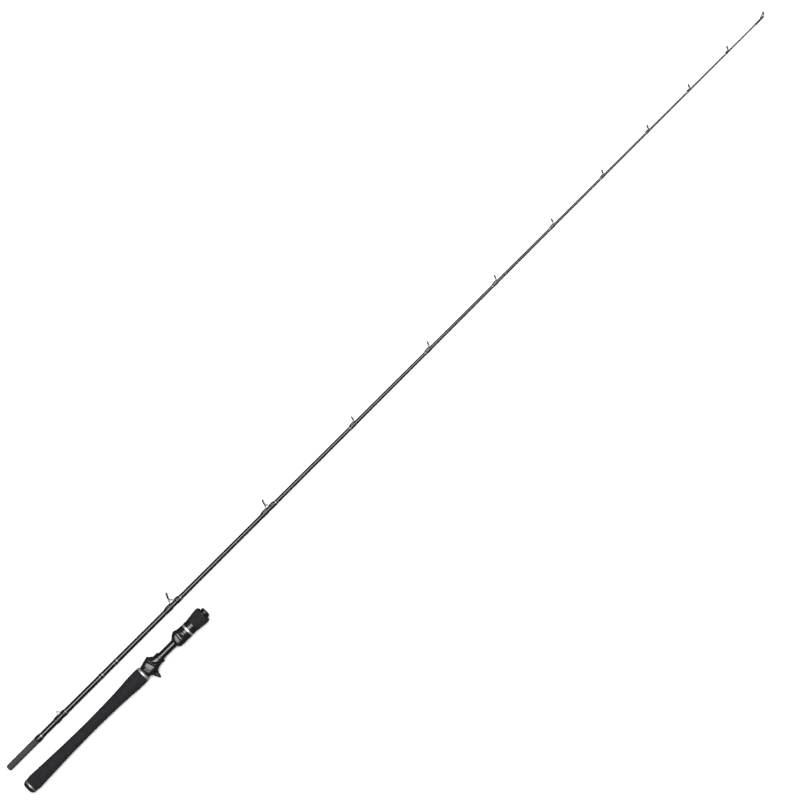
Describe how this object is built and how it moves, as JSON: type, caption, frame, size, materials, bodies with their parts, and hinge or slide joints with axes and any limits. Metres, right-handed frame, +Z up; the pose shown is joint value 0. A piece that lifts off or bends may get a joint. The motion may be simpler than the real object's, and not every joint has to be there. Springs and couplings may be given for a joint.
{
  "type": "baitcasting fishing rod",
  "caption": "Two-piece casting rod taken down: tapered black blank with line guides and spigot, beside its handle with foam grips, trigger reel seat and screw-locked hood.",
  "frame": {"origin": "centre of the bounding box on the floor that the rod lies on", "axes": "+X along both sections towards the tip, +Y towards the guides' side, +Z up off the floor"},
  "size_m": [1.8444, 0.0986, 0.0304],
  "materials": {
    "carbon_blank": "gloss",
    "matte_spigot": "matte",
    "thread_wrap": "gloss",
    "eva_foam": "matte",
    "seat_gloss": "gloss",
    "handle_tube": "gloss",
    "black_plastic": "satin",
    "silver_ring": "polished",
    "guide_metal": "satin",
    "guide_ceramic": "gloss"
  },
  "bodies": {
    "handle": {"handle_tube": "handle_tube", "ferrule_socket": "handle_tube", "butt_cap": "black_plastic", "thread_barrel": "black_plastic", "front_collar": "black_plastic", "butt_ring": "silver_ring", "grip_check_ring": "silver_ring", "rear_grip": "eva_foam", "reel_seat": "seat_gloss"},
    "front_hood": {"sliding_hood": "seat_gloss"},
    "lock_nut": {"nut_ring": "silver_ring", "lock_nut": "black_plastic", "foregrip": "eva_foam"},
    "blank_section": {"blank_tube": "carbon_blank", "ferrule_spigot": "matte_spigot", "spigot_end_plug": "black_plastic", "butt_wrap": "thread_wrap", "keeper_rear_wrap": "thread_wrap", "keeper_front_wrap": "thread_wrap", "trim_band_rear": "thread_wrap", "trim_band_front": "thread_wrap", "guide_1_rear_wrap": "thread_wrap", "guide_1_front_wrap": "thread_wrap", "guide_2_rear_wrap": "thread_wrap", "guide_2_front_wrap": "thread_wrap", "guide_3_wrap": "thread_wrap", "guide_4_wrap": "thread_wrap", "guide_5_wrap": "thread_wrap", "guide_6_wrap": "thread_wrap", "guide_7_wrap": "thread_wrap", "guide_8_wrap": "thread_wrap", "guide_9_wrap": "thread_wrap", "guide_10_wrap": "thread_wrap", "tip_wrap": "thread_wrap", "hook_keeper": "guide_metal", "guide_frame_1": "guide_metal", "guide_frame_2": "guide_metal", "guide_frame_3": "guide_metal", "guide_frame_4": "guide_metal", "guide_frame_5": "guide_metal", "guide_frame_6": "guide_metal", "guide_frame_7": "guide_metal", "guide_frame_8": "guide_metal", "guide_frame_9": "guide_metal", "guide_frame_10": "guide_metal", "tip_top_frame": "guide_metal", "guide_ring_1": "guide_ceramic", "guide_ring_2": "guide_ceramic", "guide_ring_3": "guide_ceramic", "guide_ring_4": "guide_ceramic", "guide_ring_5": "guide_ceramic", "guide_ring_6": "guide_ceramic", "guide_ring_7": "guide_ceramic", "guide_ring_8": "guide_ceramic", "guide_ring_9": "guide_ceramic", "guide_ring_10": "guide_ceramic", "tip_top_ring": "guide_ceramic"}
  },
  "joints": [
    {"name": "hood_slide", "type": "slide", "parent": "handle", "child": "front_hood", "axis": [1, 0, 0.0033], "range_m": [-0.0141, 0]},
    {"name": "nut_turn", "type": "hinge", "parent": "front_hood", "child": "lock_nut", "pos_m": [-0.5152, -0.0232, 0.01515], "axis": [-1, 0, -0.0033], "range_deg": [0, 2520]},
    {"name": "blank_lift", "type": "slide", "parent": "handle", "child": "blank_section", "axis": [0.998, -0.0618, 0.0113], "range_m": [0, 0.7815]}
  ],
  "couplings": [
    {"joint": "hood_slide", "follows": "nut_turn", "m_per_rad": -0.00031831}
  ]
}
